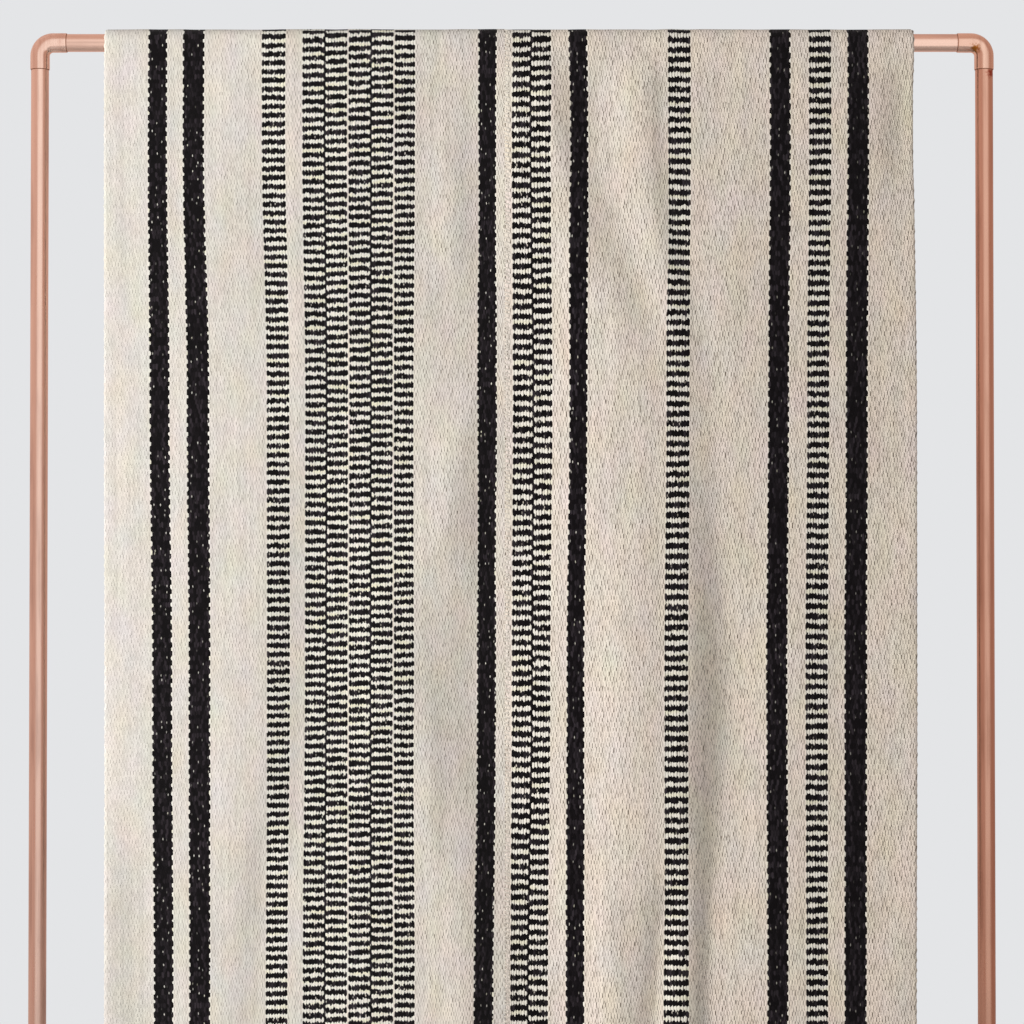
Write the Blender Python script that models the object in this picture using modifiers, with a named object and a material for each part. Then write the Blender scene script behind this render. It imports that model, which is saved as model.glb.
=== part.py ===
"""Handwoven rug of two sewn panels, hung over the bar of a free-standing copper pipe rack.

Metres, +Z up. The origin is on the floor under the middle of the rack. The rug's front
fall faces -Y, and +X is to the right of someone who looks at it.
"""

import math
from collections import namedtuple

import bmesh
import bpy
from mathutils import Matrix, Vector

# Copper pipe and soldered fittings
PIPE_RADIUS = 0.0111
PIPE_WALL = 0.0011
FITTING_RADIUS = 0.01225
SIDES = 20
ELBOW_REACH = 0.0335
ELBOW_BEND = 0.0165
ELBOW_STEPS = 6
TEE_REACH = 0.030
SEAT_DEPTH = 0.0155
CAP_LENGTH = 0.022
CUT_OVERRUN = 0.005
SMOOTH_ANGLE = math.radians(35)

# Rack
POST_X = 0.592
BAR_HEIGHT = 1.488
RAIL_HEIGHT = 0.12
FOOT_REACH = 0.230
FOOT_HEIGHT = FITTING_RADIUS * math.cos(math.pi / SIDES)

# Gap between touching pieces, and the fittings' bore and wall that leave it round a pipe
CLEARANCE = 0.0003
BORE_RADIUS = (PIPE_RADIUS + CLEARANCE) / math.cos(math.pi / SIDES)
FITTING_WALL = (FITTING_RADIUS - BORE_RADIUS) * math.cos(math.pi / SIDES)

# Rug
RUG_THICKNESS = 0.0055
FRONT_DROP = 1.300
BACK_DROP = 1.095
SEAM_X = -0.008
SEAM_ALLOWANCE = 0.010
PANEL_COLUMNS = 28
BEND_ROWS = 10
ROW_SPACING = 0.080

# The cloth's inner face over the bar: a bent strip whose flats clear the pipe by CLEARANCE
BEND_RADIUS = (PIPE_RADIUS + CLEARANCE) / math.cos(math.pi / (2 * BEND_ROWS))

# Depths below the bar at which the folds are described, and the depth by which they have
# risen from the bar's straight line
DROPS = (0.12, 0.45, 0.80, 1.20)
FADE_DROP = 0.07

# Each row is a crest or a hollow that runs down the cloth: its x and how far it stands out
# from the plane below the bar, in metres, at the four depths
Fold = namedtuple("Fold", "name x_top x_high x_mid x_low out_top out_high out_mid out_low")

FRONT_FOLDS = (
    Fold("left edge", -0.509, -0.508, -0.507, -0.506, 0.000, 0.001, 0.001, 0.001),
    Fold("left swell", -0.360, -0.318, -0.315, -0.365, 0.002, 0.004, 0.006, 0.006),
    Fold("left hollow", -0.300, -0.255, -0.245, -0.305, 0.000, 0.001, -0.001, 0.001),
    Fold("broad swell", -0.150, -0.110, -0.130, -0.080, 0.004, 0.006, 0.008, 0.009),
    Fold("seam hollow", -0.035, -0.020, -0.036, 0.020, 0.000, 0.003, -0.006, 0.002),
    Fold("centre fold", 0.050, 0.155, 0.165, 0.150, 0.010, 0.022, 0.024, 0.017),
    Fold("crease", 0.110, 0.190, 0.186, 0.184, 0.000, 0.0195, 0.0225, 0.015),
    Fold("main fold", 0.166, 0.205, 0.208, 0.213, 0.010, 0.020, 0.0245, 0.016),
    Fold("main hollow", 0.190, 0.255, 0.272, 0.247, 0.003, 0.014, 0.000, 0.002),
    Fold("right swell", 0.310, 0.345, 0.345, 0.330, 0.001, 0.009, 0.003, 0.002),
    Fold("right hollow", 0.440, 0.430, 0.430, 0.430, 0.001, 0.002, 0.000, -0.001),
    Fold("right edge", 0.503, 0.505, 0.505, 0.504, -0.005, -0.001, 0.000, -0.001),
)

BACK_FOLDS = (
    Fold("left edge", -0.509, -0.508, -0.507, -0.506, 0.000, 0.001, 0.002, 0.004),
    Fold("left swell", -0.300, -0.295, -0.290, -0.285, 0.003, 0.006, 0.009, 0.012),
    Fold("middle hollow", -0.080, -0.070, -0.060, -0.070, 0.000, -0.002, -0.003, -0.004),
    Fold("middle fold", 0.110, 0.115, 0.120, 0.100, 0.004, 0.009, 0.013, 0.016),
    Fold("right hollow", 0.270, 0.280, 0.290, 0.280, 0.000, -0.002, -0.003, -0.002),
    Fold("right swell", 0.400, 0.405, 0.410, 0.405, 0.002, 0.005, 0.007, 0.010),
    Fold("right edge", 0.503, 0.505, 0.505, 0.504, 0.000, 0.001, 0.001, 0.002),
)

# Colours, as sRGB
COPPER = (0.79, 0.56, 0.46)
UNDYED_WOOL = (0.86, 0.82, 0.77)


# Scene set-up

def clear_scene():
    """Remove what a new file starts with."""
    for item in list(bpy.data.objects):
        bpy.data.objects.remove(item, do_unlink=True)


def new_collection(name):
    """Make a collection and link it to the scene."""
    collection = bpy.data.collections.new(name)
    bpy.context.scene.collection.children.link(collection)
    return collection


def to_linear(channel):
    """Turn one sRGB channel to linear light."""
    if channel <= 0.04045:
        return channel / 12.92
    return ((channel + 0.055) / 1.055) ** 2.4


def material(name, colour, roughness, metallic):
    """A Principled material of one colour."""
    result = bpy.data.materials.new(name)
    result.use_nodes = True
    shader = result.node_tree.nodes["Principled BSDF"]
    shader.inputs["Base Color"].default_value = (*(to_linear(c) for c in colour), 1.0)
    shader.inputs["Roughness"].default_value = roughness
    shader.inputs["Metallic"].default_value = metallic
    return result


def add_piece(name, shape, place, finish):
    """Turn a bmesh into a named object of the part, shaded smooth where it is round."""
    mesh = bpy.data.meshes.new(name)
    shape.to_mesh(mesh)
    shape.free()
    mesh.shade_smooth()
    mesh.set_sharp_from_angle(angle=SMOOTH_ANGLE)
    piece = bpy.data.objects.new(name, mesh)
    piece.matrix_world = place
    mesh.materials.append(material(f"{name}_finish", *finish))
    PARTS.objects.link(piece)
    return piece


def add_cutter(name, shape, place):
    """Turn a bmesh into a hidden object that shapes another one."""
    mesh = bpy.data.meshes.new(name)
    shape.to_mesh(mesh)
    shape.free()
    cutter = bpy.data.objects.new(name, mesh)
    cutter.matrix_world = place
    cutter.hide_render = True
    cutter.display_type = "WIRE"
    CUTTERS.objects.link(cutter)
    return cutter


def solidify(piece, thickness, offset):
    """Give an open surface a wall, on the side that offset names."""
    modifier = piece.modifiers.new("wall", "SOLIDIFY")
    modifier.thickness = thickness
    modifier.offset = offset
    modifier.use_even_offset = True


# Round stock

def cylinder(radius, low, high, capped, half_turns=1):
    """A cylinder along Z from low to high. One half turn of a flat puts flats on its axes."""
    shape = bmesh.new()
    turn = Matrix.Rotation(half_turns * math.pi / SIDES, 4, "Z")
    middle = Matrix.Translation((0, 0, (low + high) / 2))
    bmesh.ops.create_cone(
        shape,
        cap_ends=capped,
        segments=SIDES,
        radius1=radius,
        radius2=radius,
        depth=high - low,
        matrix=middle @ turn,
    )
    return shape


def facing(direction):
    """Rotation that takes +Z to one of the six axis directions."""
    return Vector((0, 0, 1)).rotation_difference(Vector(direction)).to_matrix().to_4x4()


def pipe(name, start, end):
    """A cut length of copper pipe, open at both ends, between two points on an axis."""
    start = Vector(start)
    end = Vector(end)
    length = (end - start).length
    place = Matrix.Translation(start) @ facing((end - start) / length)
    piece = add_piece(name, cylinder(PIPE_RADIUS, 0, length, False), place, COPPER_FINISH)
    solidify(piece, PIPE_WALL, -1)
    return piece


def elbow(name, corner, side):
    """A short-radius elbow: one leg along the bar, one down the post on the side given."""
    shape = bmesh.new()
    along_bar = facing((1, 0, 0)) @ Matrix.Rotation(math.pi / SIDES, 4, "Z")
    mouth = Matrix.Translation((-side * ELBOW_REACH, 0, 0)) @ along_bar
    bmesh.ops.create_circle(shape, segments=SIDES, radius=FITTING_RADIUS, matrix=mouth)
    straight = ELBOW_REACH - ELBOW_BEND

    rim = shape.edges[:]
    leg = bmesh.ops.extrude_edge_only(shape, edges=rim)["geom"]
    verts = [item for item in leg if isinstance(item, bmesh.types.BMVert)]
    bmesh.ops.translate(shape, verts=verts, vec=(side * straight, 0, 0))

    bend = bmesh.ops.spin(
        shape,
        geom=[item for item in leg if not isinstance(item, bmesh.types.BMFace)],
        cent=(-side * ELBOW_BEND, 0, -ELBOW_BEND),
        axis=(0, 1, 0),
        angle=side * math.pi / 2,
        steps=ELBOW_STEPS,
    )
    last = [item for item in bend["geom_last"] if isinstance(item, bmesh.types.BMEdge)]
    leg = bmesh.ops.extrude_edge_only(shape, edges=last)["geom"]
    verts = [item for item in leg if isinstance(item, bmesh.types.BMVert)]
    bmesh.ops.translate(shape, verts=verts, vec=(0, 0, -straight))

    bmesh.ops.recalc_face_normals(shape, faces=shape.faces[:])
    piece = add_piece(name, shape, Matrix.Translation(corner), COPPER_FINISH)
    solidify(piece, FITTING_WALL, -1)
    return piece


def tee(name, centre, run, branch):
    """A tee whose straight run lies along one axis and whose branch leaves along another.

    The branch has edges where the run has flats, so that no two faces lie in one plane.
    """
    along_run = Matrix.Translation(centre) @ facing(run)
    along_branch = Matrix.Translation(centre) @ facing(branch)
    overrun = TEE_REACH + CUT_OVERRUN

    body = cylinder(FITTING_RADIUS, -TEE_REACH, TEE_REACH, True)
    piece = add_piece(name, body, along_run, COPPER_FINISH)
    branch_body = cylinder(FITTING_RADIUS, 0, TEE_REACH, True, 0)
    run_bore = cylinder(BORE_RADIUS, -overrun, overrun, True)
    branch_bore = cylinder(BORE_RADIUS, 0, overrun, True, 0)
    steps = (
        ("branch", "UNION", branch_body, along_branch),
        ("run_bore", "DIFFERENCE", run_bore, along_run),
        ("branch_bore", "DIFFERENCE", branch_bore, along_branch),
    )
    for label, operation, shape, place in steps:
        modifier = piece.modifiers.new(label, "BOOLEAN")
        modifier.operation = operation
        modifier.solver = "EXACT"
        modifier.object = add_cutter(f"{name}_{label}", shape, place)
    return piece


def end_cap(name, mouth, direction):
    """A cup that closes a pipe's end: mouth is its open edge, direction points outward."""
    shape = cylinder(FITTING_RADIUS, 0, CAP_LENGTH, True)
    inner_end = min(shape.faces, key=lambda face: face.calc_center_median().z)
    bmesh.ops.delete(shape, geom=[inner_end], context="FACES_ONLY")
    place = Matrix.Translation(mouth) @ facing(direction)
    piece = add_piece(name, shape, place, COPPER_FINISH)
    solidify(piece, FITTING_WALL, -1)
    return piece


# Rack

def build_top():
    """Bar, elbows and posts: what the photo shows of the rack."""
    bar_end = POST_X - ELBOW_REACH + SEAT_DEPTH
    pipe("rack_top_bar", (-bar_end, 0, BAR_HEIGHT), (bar_end, 0, BAR_HEIGHT))
    post_top = BAR_HEIGHT - ELBOW_REACH + SEAT_DEPTH
    post_foot = RAIL_HEIGHT + TEE_REACH - SEAT_DEPTH
    for label, side in SIDE_NAMES:
        x = side * POST_X
        elbow(f"rack_elbow_{label}", (x, 0, BAR_HEIGHT), side)
        pipe(f"rack_upright_{label}", (x, 0, post_foot), (x, 0, post_top))


def build_base():
    """Low rail and feet, finished plainly with the same pipe."""
    seat = TEE_REACH - SEAT_DEPTH
    rail_end = POST_X - seat
    pipe("rack_low_rail", (-rail_end, 0, RAIL_HEIGHT), (rail_end, 0, RAIL_HEIGHT))
    pipe_end = FOOT_REACH - FITTING_WALL - CLEARANCE
    cap_mouth = FOOT_REACH - CAP_LENGTH
    for label, side in SIDE_NAMES:
        x = side * POST_X
        tee(f"rack_rail_tee_{label}", (x, 0, RAIL_HEIGHT), (0, 0, 1), (-side, 0, 0))
        pipe(f"rack_stub_{label}", (x, 0, FOOT_HEIGHT + seat), (x, 0, RAIL_HEIGHT - seat))
        tee(f"rack_foot_tee_{label}", (x, 0, FOOT_HEIGHT), (0, 1, 0), (0, 0, 1))
        for end, way in (("front", -1), ("back", 1)):
            start = (x, way * seat, FOOT_HEIGHT)
            pipe(f"rack_foot_pipe_{label}_{end}", start, (x, way * pipe_end, FOOT_HEIGHT))
            mouth = (x, way * cap_mouth, FOOT_HEIGHT)
            end_cap(f"rack_foot_cap_{label}_{end}", mouth, (0, way, 0))


# Rug

def ease(t):
    """Smooth step from 0 to 1."""
    t = min(max(t, 0.0), 1.0)
    return t * t * (3 - 2 * t)


def at_drop(drop, values):
    """Blend the values given for the four depths."""
    blend = values[0]
    for (low, high), (before, after) in zip(zip(DROPS, DROPS[1:]), zip(values, values[1:])):
        blend += (after - before) * ease((drop - low) / (high - low))
    return blend


def fold_line(fold, drop):
    """Where a fold runs at a depth, and how far it stands out."""
    across = (fold.x_top, fold.x_high, fold.x_mid, fold.x_low)
    outward = (fold.out_top, fold.out_high, fold.out_mid, fold.out_low)
    return at_drop(drop, across), at_drop(drop, outward)


def fold_depth(folds, x, drop):
    """How far the cloth stands out from the plane below the bar."""
    points = [fold_line(fold, drop) for fold in folds]
    settled = ease(drop / FADE_DROP)
    if x <= points[0][0]:
        return points[0][1] * settled
    for (x_a, out_a), (x_b, out_b) in zip(points, points[1:]):
        if x <= x_b:
            return (out_a + (out_b - out_a) * ease((x - x_a) / (x_b - x_a))) * settled
    return points[-1][1] * settled


def cloth_rows():
    """Places along the cloth, as (way, drop, turn): down the front, over the bar, down the back."""
    rows = []
    for way, length in ((-1, FRONT_DROP), (1, BACK_DROP)):
        count = round(length / ROW_SPACING)
        drops = [length * step / count for step in range(1, count + 1)]
        rows.append([(way, drop, None) for drop in drops])
    turns = [math.pi * step / BEND_ROWS for step in range(BEND_ROWS + 1)]
    return rows[0][::-1] + [(0, 0.0, turn) for turn in turns] + rows[1]


def cloth_point(row, x_share, edge_side):
    """A point of the cloth's inner face, x_share of the way from past the seam to the edge."""
    way, drop, turn = row
    edge = FRONT_FOLDS[0] if edge_side < 0 else FRONT_FOLDS[-1]
    edge_x = fold_line(edge, drop)[0]
    inner_x = SEAM_X - edge_side * SEAM_ALLOWANCE
    x = inner_x + (edge_x - inner_x) * x_share
    if way == 0:
        y = -BEND_RADIUS * math.cos(turn)
        return Vector((x, y, BAR_HEIGHT + BEND_RADIUS * math.sin(turn)))
    out = fold_depth(FRONT_FOLDS if way < 0 else BACK_FOLDS, x, drop)
    return Vector((x, way * (BEND_RADIUS + out), BAR_HEIGHT - drop))


def rug_panel(name, edge_side):
    """One woven panel, from its front hem over the bar to its back hem."""
    rows = cloth_rows()
    shape = bmesh.new()
    last_row = len(rows) - 1
    bmesh.ops.create_grid(shape, x_segments=PANEL_COLUMNS, y_segments=last_row, size=0.5)
    for vert in shape.verts:
        row = rows[round((vert.co.y + 0.5) * last_row)]
        vert.co = cloth_point(row, vert.co.x + 0.5, edge_side)
    highest = max(shape.faces, key=lambda face: face.calc_center_median().z)
    highest.normal_update()
    if highest.normal.z < 0:
        bmesh.ops.reverse_faces(shape, faces=shape.faces[:])
    piece = add_piece(name, shape, Matrix.Identity(4), WOOL_FINISH)
    solidify(piece, RUG_THICKNESS, 1)

    trim = bmesh.new()
    bmesh.ops.create_cube(trim, size=1.0)
    trim_width = 4 * SEAM_ALLOWANCE
    trim_x = SEAM_X + edge_side * (CLEARANCE - trim_width) / 2
    trim_size = Matrix.Diagonal((trim_width, 4 * FOOT_REACH, 2 * BAR_HEIGHT, 1))
    trim_place = Matrix.Translation((trim_x, 0, BAR_HEIGHT)) @ trim_size
    modifier = piece.modifiers.new("seam_edge", "BOOLEAN")
    modifier.operation = "DIFFERENCE"
    modifier.solver = "EXACT"
    modifier.object = add_cutter(f"{name}_trim", trim, trim_place)
    return piece


SIDE_NAMES = (("left", -1), ("right", 1))
COPPER_FINISH = (COPPER, 0.30, 1.0)
WOOL_FINISH = (UNDYED_WOOL, 0.90, 0.0)

clear_scene()
PARTS = new_collection("handwoven_rug_on_pipe_rack")
CUTTERS = new_collection("cutters")
build_top()
build_base()
for side_name, side_sign in SIDE_NAMES:
    rug_panel(f"rug_panel_{side_name}", side_sign)
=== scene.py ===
import math
from collections import namedtuple

import bmesh
import bpy
import numpy as np
from mathutils import Matrix, Vector


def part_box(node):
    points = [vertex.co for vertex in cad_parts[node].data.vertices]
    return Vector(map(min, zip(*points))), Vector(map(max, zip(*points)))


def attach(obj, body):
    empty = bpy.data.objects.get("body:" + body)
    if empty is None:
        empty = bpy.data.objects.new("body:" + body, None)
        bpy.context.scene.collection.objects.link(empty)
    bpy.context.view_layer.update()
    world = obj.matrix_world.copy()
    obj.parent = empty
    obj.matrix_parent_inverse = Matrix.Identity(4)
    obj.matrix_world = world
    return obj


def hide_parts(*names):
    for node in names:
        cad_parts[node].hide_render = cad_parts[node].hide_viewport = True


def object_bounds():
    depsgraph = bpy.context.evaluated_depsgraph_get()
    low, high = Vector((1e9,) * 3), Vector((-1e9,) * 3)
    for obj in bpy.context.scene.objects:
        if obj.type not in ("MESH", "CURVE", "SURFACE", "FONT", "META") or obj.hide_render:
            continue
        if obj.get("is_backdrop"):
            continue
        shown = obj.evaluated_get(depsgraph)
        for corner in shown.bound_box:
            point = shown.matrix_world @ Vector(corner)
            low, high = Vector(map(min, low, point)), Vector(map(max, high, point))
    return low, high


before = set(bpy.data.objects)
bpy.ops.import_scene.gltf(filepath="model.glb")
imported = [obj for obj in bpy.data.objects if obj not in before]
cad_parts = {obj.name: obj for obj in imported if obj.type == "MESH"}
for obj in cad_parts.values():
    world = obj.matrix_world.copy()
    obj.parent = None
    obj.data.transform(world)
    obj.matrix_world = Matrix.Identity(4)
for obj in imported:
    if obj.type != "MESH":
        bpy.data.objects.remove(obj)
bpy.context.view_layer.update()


# The rack's pipes: bar, two posts, low rail, stubs and feet. Hard-drawn copper water pipe of
# nominal three-quarter inch, pulled through a die, cut to length and pushed into its fittings.

PIPE_RADIUS = 0.0111
PIPE_WALL = 0.0011
TURN_STEPS = 40
WELD_DISTANCE = 0.000001
SMOOTH_ANGLE = math.radians(32)
PIPE_NODES = (
    "rack_top_bar", "rack_upright_left", "rack_upright_right", "rack_low_rail",
    "rack_stub_left", "rack_stub_right",
    "rack_foot_pipe_left_front", "rack_foot_pipe_left_back",
    "rack_foot_pipe_right_front", "rack_foot_pipe_right_back",
)


def linear(code):
    """An sRGB hex colour as linear red, green, blue and alpha."""
    shares = [int(code[i:i + 2], 16) / 255 for i in (1, 3, 5)]
    return (*(c / 12.92 if c <= 0.04045 else ((c + 0.055) / 1.055) ** 2.4 for c in shares), 1.0)


def add_node(tree, kind, inputs=None, **settings):
    """Add a shader node with its settings, and a link or a value for each input named."""
    made = tree.nodes.new("ShaderNode" + kind)
    for key, value in settings.items():
        setattr(made, key, value)
    for key, value in (inputs or {}).items():
        if isinstance(value, bpy.types.NodeSocket):
            tree.links.new(value, made.inputs[key])
        else:
            made.inputs[key].default_value = value
    return made


# Mill-finish copper: the die leaves fine lines along the pipe that stretch each highlight, and
# handling leaves duller patches of thin oxide; the copper is also duller towards the floor.
DRAW_LINE_WIDTH = 0.0012
DRAW_LINE_LENGTH = 0.150
DRAW_LINE_DEPTH = 0.00005
BROAD_LINES = (0.22, 0.22, 0.5)
TARNISH_SIZE = (0.020, 0.020, 0.140)
SPOT_SIZE = 0.003
BRIGHT_HEIGHT = 1.40
DULL_HEIGHT = 0.30
DULLEST = 0.65
ROUGHNESS_BELOW = 0.06
ROUGHNESS_ABOVE = 0.14

# How much the fine lines and the broad bands among them tell beside the patches of tarnish, and
# where on their sum the tarnish starts and where it is full
LINE_WEIGHT = 0.35
BAND_WEIGHT = 0.55
TARNISH_START = 0.95
TARNISH_FULL = 1.4

# A stain that a hot joint or a wet hand left: its centre in the piece's own frame, its size and
# its colour
Stain = namedtuple("Stain", "centre radius colour")


def drawn_copper(name, fresh, tarnished, roughness, stain=None):
    """Copper with draw lines along the piece's own Z, patches of thin tarnish and maybe a stain."""
    made = bpy.data.materials.new(name)
    made.use_nodes = True
    tree = made.node_tree
    shader = tree.nodes["Principled BSDF"]
    place = add_node(tree, "TexCoord").outputs["Object"]
    stretch = (1 / DRAW_LINE_WIDTH, 1 / DRAW_LINE_WIDTH, 1 / DRAW_LINE_LENGTH)
    along = add_node(tree, "VectorMath", {0: place, 1: stretch}, operation="MULTIPLY")
    lines = add_node(tree, "TexNoise", {"Vector": along.outputs[0], "Scale": 1.0, "Detail": 3.0})
    bands = add_node(tree, "VectorMath", {0: along.outputs[0], 1: BROAD_LINES}, operation="MULTIPLY")
    broad = add_node(tree, "TexNoise", {"Vector": bands.outputs[0], "Scale": 1.0, "Detail": 2.0})
    patch_place = add_node(tree, "VectorMath", {0: place, 1: TARNISH_SIZE}, operation="DIVIDE")
    patches = add_node(tree, "TexNoise", {"Vector": patch_place.outputs[0], "Scale": 1.0, "Detail": 5.0})
    mixed = add_node(tree, "Math", {0: lines.outputs["Fac"], 1: LINE_WEIGHT,
                                    2: patches.outputs["Fac"]}, operation="MULTIPLY_ADD")
    mixed = add_node(tree, "Math", {0: broad.outputs["Fac"], 1: BAND_WEIGHT, 2: mixed.outputs[0]},
                     operation="MULTIPLY_ADD")
    share = add_node(tree, "MapRange", {"Value": mixed.outputs[0], "From Min": TARNISH_START,
                                        "From Max": TARNISH_FULL})
    # The copper is duller and browner the lower it is
    height = add_node(tree, "SeparateXYZ", {0: add_node(tree, "NewGeometry").outputs["Position"]})
    age = add_node(tree, "MapRange", {"Value": height.outputs["Z"], "From Min": BRIGHT_HEIGHT,
                                      "From Max": DULL_HEIGHT, "To Max": DULLEST})
    share = add_node(tree, "Math", {0: share.outputs[0], 1: age.outputs[0]}, operation="ADD", use_clamp=True)
    colour = add_node(tree, "MixRGB", {0: share.outputs[0], 1: linear(fresh), 2: linear(tarnished)})
    if stain:
        away = add_node(tree, "VectorMath", {0: place, 1: stain.centre}, operation="DISTANCE")
        spots = add_node(tree, "TexNoise", {"Vector": place, "Scale": 1 / SPOT_SIZE, "Detail": 3.0})
        ragged = add_node(tree, "Math", {0: spots.outputs["Fac"], 1: 2 * stain.radius,
                                         2: away.outputs["Value"]}, operation="MULTIPLY_ADD")
        stained = add_node(tree, "MapRange", {"Value": ragged.outputs[0], "From Min": 2.0 * stain.radius,
                                              "From Max": 1.3 * stain.radius})
        colour = add_node(tree, "MixRGB", {0: stained.outputs[0], 1: colour.outputs[0],
                                           2: linear(stain.colour)})
    tree.links.new(colour.outputs[0], shader.inputs["Base Color"])
    rough = add_node(tree, "MapRange", {"Value": mixed.outputs[0], "From Min": 0.7, "From Max": 1.2,
                                        "To Min": roughness - ROUGHNESS_BELOW,
                                        "To Max": roughness + ROUGHNESS_ABOVE})
    tree.links.new(rough.outputs[0], shader.inputs["Roughness"])
    bump = add_node(tree, "Bump", {"Height": lines.outputs["Fac"], "Strength": 0.25,
                                  "Distance": DRAW_LINE_DEPTH})
    tree.links.new(bump.outputs[0], shader.inputs["Normal"])
    shader.inputs["Metallic"].default_value = 1.0
    return made


# The right post's copper is browner all over, with a red stain under its elbow
PIPE_COPPER = drawn_copper("drawn_copper", "#F9D2BF", "#CBA798", 0.29)
OLD_PIPE_COPPER = drawn_copper("browner_drawn_copper", "#DDAA93", "#B98873", 0.30,
                               Stain((0.008, -0.008, 1.315), 0.008, "#A8503C"))


def add_copper(node, mesh, place, finish):
    """Show a mesh in place of one of the rack's solids."""
    mesh.shade_smooth()
    mesh.set_sharp_from_angle(angle=SMOOTH_ANGLE)
    mesh.materials.append(finish)
    piece = bpy.data.objects.new(node.replace("rack_", "copper_"), mesh)
    bpy.context.scene.collection.objects.link(piece)
    piece.matrix_world = place
    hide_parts(node)
    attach(piece, "root")
    return piece


def turned(name, outline):
    """A mesh turned about Z from a closed outline of (height, radius)."""
    shape = bmesh.new()
    verts = [shape.verts.new((radius, 0, height)) for height, radius in outline]
    edges = [shape.edges.new(pair) for pair in zip(verts, verts[1:] + verts[:1])]
    bmesh.ops.spin(shape, geom=verts + edges, cent=(0, 0, 0), axis=(0, 0, 1),
                   angle=2 * math.pi, steps=TURN_STEPS, use_merge=True)
    bmesh.ops.remove_doubles(shape, verts=shape.verts[:], dist=WELD_DISTANCE)
    bmesh.ops.recalc_face_normals(shape, faces=shape.faces[:])
    mesh = bpy.data.meshes.new(name)
    shape.to_mesh(mesh)
    shape.free()
    return mesh


def facing(direction):
    """Rotation that takes +Z to a direction."""
    return Vector((0, 0, 1)).rotation_difference(Vector(direction)).to_matrix().to_4x4()


for node in PIPE_NODES:
    low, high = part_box(node)
    size = high - low
    axis = max(range(3), key=lambda i: size[i])
    start = (low + high) / 2
    start[axis] = low[axis]
    direction = [float(i == axis) for i in range(3)]
    length = size[axis]
    inner = PIPE_RADIUS - PIPE_WALL
    outline = [(0, inner), (0, PIPE_RADIUS), (length, PIPE_RADIUS), (length, inner)]
    finish = OLD_PIPE_COPPER if node == "rack_upright_right" else PIPE_COPPER
    add_copper(node, turned(node, outline), Matrix.Translation(start) @ facing(direction), finish)


# The two elbows at the top corners: short-radius soldered fittings, pressed from copper tube and
# pickled, so they are smoother and shine more than the pipe. Each socket has a rounded lip, and
# the joint's rim of flux and solder is scorched dark and painted darker still, as shade for the
# narrow gap in the joint.

FITTING_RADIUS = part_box("rack_foot_cap_left_back")[1].z / 2
LIP_RADIUS = 0.0005
SOCKET_RADIUS = PIPE_RADIUS + 0.0003
ELBOW_REACH = 0.0335
ELBOW_BEND = 0.0165
ELBOW_STRAIGHT = ELBOW_REACH - ELBOW_BEND
ELBOW_ARC = ELBOW_BEND * math.pi / 2
ELBOW_LENGTH = 2 * ELBOW_STRAIGHT + ELBOW_ARC
BEND_STEPS = 14
FITTING_COPPER = drawn_copper("pressed_copper", "#F8D2C0", "#D6A48F", 0.17)
STAINED_COPPER = drawn_copper("stained_pressed_copper", "#F0C4AE", "#C4907A", 0.20,
                              Stain((-0.012, -0.0095, -0.0085), 0.008, "#A8672B"))
# The mouths' rims: scorched flux and solder, painted darker still as shade for the joint's narrow gap
SCORCHED_RIM = drawn_copper("scorched_and_shaded_joint_rim", "#A0705A", "#744C3B", 0.45)
RIM_LENGTH = 0.0008
BAR_HEIGHT = (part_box("rack_top_bar")[0].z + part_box("rack_top_bar")[1].z) / 2
POST_X = (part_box("rack_upright_right")[0].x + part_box("rack_upright_right")[1].x) / 2


def lip(height, way, inner):
    """Outline points round a socket's mouth, from the outer side to the bore."""
    return [
        (height - way * LIP_RADIUS, FITTING_RADIUS),
        (height - way * LIP_RADIUS * 0.3, FITTING_RADIUS - LIP_RADIUS * 0.25),
        (height, FITTING_RADIUS - LIP_RADIUS * 0.7),
        (height + way * RIM_LENGTH * 0.2, (FITTING_RADIUS + inner) / 2),
        (height + way * RIM_LENGTH, inner),
    ]


def along_elbow(point, side):
    """Carry a point of a straight sleeve round the elbow's path, from bar socket to post socket."""
    turn = min(max(point.z - ELBOW_STRAIGHT, 0.0), ELBOW_ARC) / ELBOW_BEND
    outward = Vector((math.sin(turn), 0, math.cos(turn)))
    onward = Vector((math.cos(turn), 0, -math.sin(turn)))
    beyond = point.z - ELBOW_STRAIGHT - turn * ELBOW_BEND
    middle = Vector((-ELBOW_BEND, 0, -ELBOW_BEND)) + outward * ELBOW_BEND
    placed = middle + onward * beyond + outward * point.x + Vector((0, point.y, 0))
    return Vector((placed.x * side, placed.y, placed.z))


for label, side in (("left", -1), ("right", 1)):
    node = f"rack_elbow_{label}"
    steps = [ELBOW_STRAIGHT + ELBOW_ARC * i / BEND_STEPS for i in range(BEND_STEPS + 1)]
    outer = [(height, FITTING_RADIUS) for height in steps]
    bore = [(height, SOCKET_RADIUS) for height in reversed(steps)]
    outline = lip(0, -1, SOCKET_RADIUS)[::-1] + outer + lip(ELBOW_LENGTH, 1, SOCKET_RADIUS) + bore
    mesh = turned(node, outline)
    shape = bmesh.new()
    shape.from_mesh(mesh)

    # What lies beyond a mouth is its scorched rim, painted darker still as shade for the joint's narrow gap
    for face in shape.faces:
        face.material_index = int(not 0 <= face.calc_center_median().z <= ELBOW_LENGTH)
    for vert in shape.verts:
        vert.co = along_elbow(vert.co, side)
    if shape.calc_volume(signed=True) < 0:
        bmesh.ops.reverse_faces(shape, faces=shape.faces[:])
    shape.to_mesh(mesh)
    shape.free()
    finish = STAINED_COPPER if side > 0 else FITTING_COPPER
    elbow = add_copper(node, mesh, Matrix.Translation((side * POST_X, 0, BAR_HEIGHT)), finish)
    elbow.data.materials.append(SCORCHED_RIM)


# Tees at the low rail and at the feet, and a domed cap on each foot's end: the same kind of
# fitting. Each tee is a run with a branch drawn out of its side.

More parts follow.
